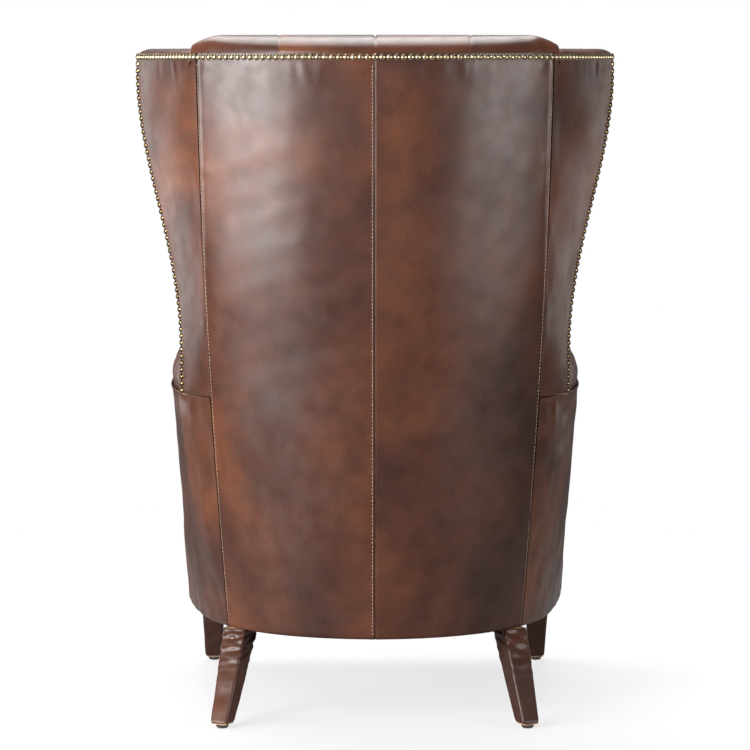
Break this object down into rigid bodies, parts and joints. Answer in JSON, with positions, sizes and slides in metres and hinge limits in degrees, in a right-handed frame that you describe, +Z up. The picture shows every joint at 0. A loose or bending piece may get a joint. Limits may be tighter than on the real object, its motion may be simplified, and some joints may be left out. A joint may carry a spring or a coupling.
{
  "type": "wing armchair",
  "caption": "High-backed wing armchair in nailed brown leather, with rolled arms, a tufted inside back, a loose seat cushion and leather-wrapped legs.",
  "frame": {"origin": "floor level, middle of the overall width and depth", "axes": "+X to the right seen from in front of the chair, as in the pieces' names, +Y to the back, the seat faces -Y, +Z up"},
  "size_m": [0.8106, 0.85, 1.148],
  "materials": {
    "leather": "glossy, mottled dark brown, rubbed reddish at the edges",
    "brass": "antiqued brass, dark in the rims",
    "timber": "plain sawn beech",
    "steel": "plain spring steel",
    "glide": "dull nickel-plated dome",
    "stuffing": "foam and wadding",
    "hessian": "plain woven jute",
    "dust_cloth": "black lining cloth",
    "zip_tape": "dark brown woven tape"
  },
  "bodies": {
    "chair": {"arm_cover_left": "leather", "arm_cover_right": "leather", "arm_facing_left": "leather", "arm_facing_right": "leather", "arm_pad_left": "stuffing", "arm_pad_right": "stuffing", "arm_post_left": "timber", "arm_post_right": "timber", "arm_rail_left": "timber", "arm_rail_right": "timber", "back_buttons": "leather", "back_lower_rail": "timber", "back_post_left": "timber", "back_post_right": "timber", "back_top_rail": "timber", "back_webbing": "hessian", "brass_nails": "brass", "corner_blocks": "timber", "deck_cover": "leather", "deck_hessian": "hessian", "deck_pad": "stuffing", "dust_cover": "dust_cloth", "frame_dowels": "timber", "front_border": "leather", "front_leg_left": "timber", "front_leg_right": "timber", "front_leg_wrap_left": "leather", "front_leg_wrap_right": "leather", "inside_back_cover": "leather", "inside_back_pad": "stuffing", "leg_bolts": "steel", "leg_glides": "glide", "outside_arm_left": "leather", "outside_arm_right": "leather", "outside_back_left": "leather", "outside_back_right": "leather", "outside_wing_left": "leather", "outside_wing_right": "leather", "rear_leg_left": "timber", "rear_leg_right": "timber", "rear_leg_wrap_left": "leather", "rear_leg_wrap_right": "leather", "seat_back_rail": "timber", "seat_front_rail": "timber", "seat_side_rail_left": "timber", "seat_side_rail_right": "timber", "seat_springs": "steel", "spring_clips": "steel", "wing_cover_left": "leather", "wing_cover_right": "leather", "wing_pad_left": "stuffing", "wing_pad_right": "stuffing", "wing_post_left": "timber", "wing_post_right": "timber", "wing_rail_left": "timber", "wing_rail_right": "timber"},
    "seat_cushion": {"cushion_cover": "leather", "cushion_core": "stuffing", "cushion_zip": "zip_tape"},
    "zip_slider": {"zip_slider": "brass"}
  },
  "joints": [
    {"name": "cushion_lift", "type": "slide", "parent": "chair", "child": "seat_cushion", "axis": [0, 0, 1], "range_m": [0, 0.3]},
    {"name": "zip_slide", "type": "slide", "parent": "seat_cushion", "child": "zip_slider", "axis": [1, 0, 0], "range_m": [-0.13, 0.13]}
  ]
}
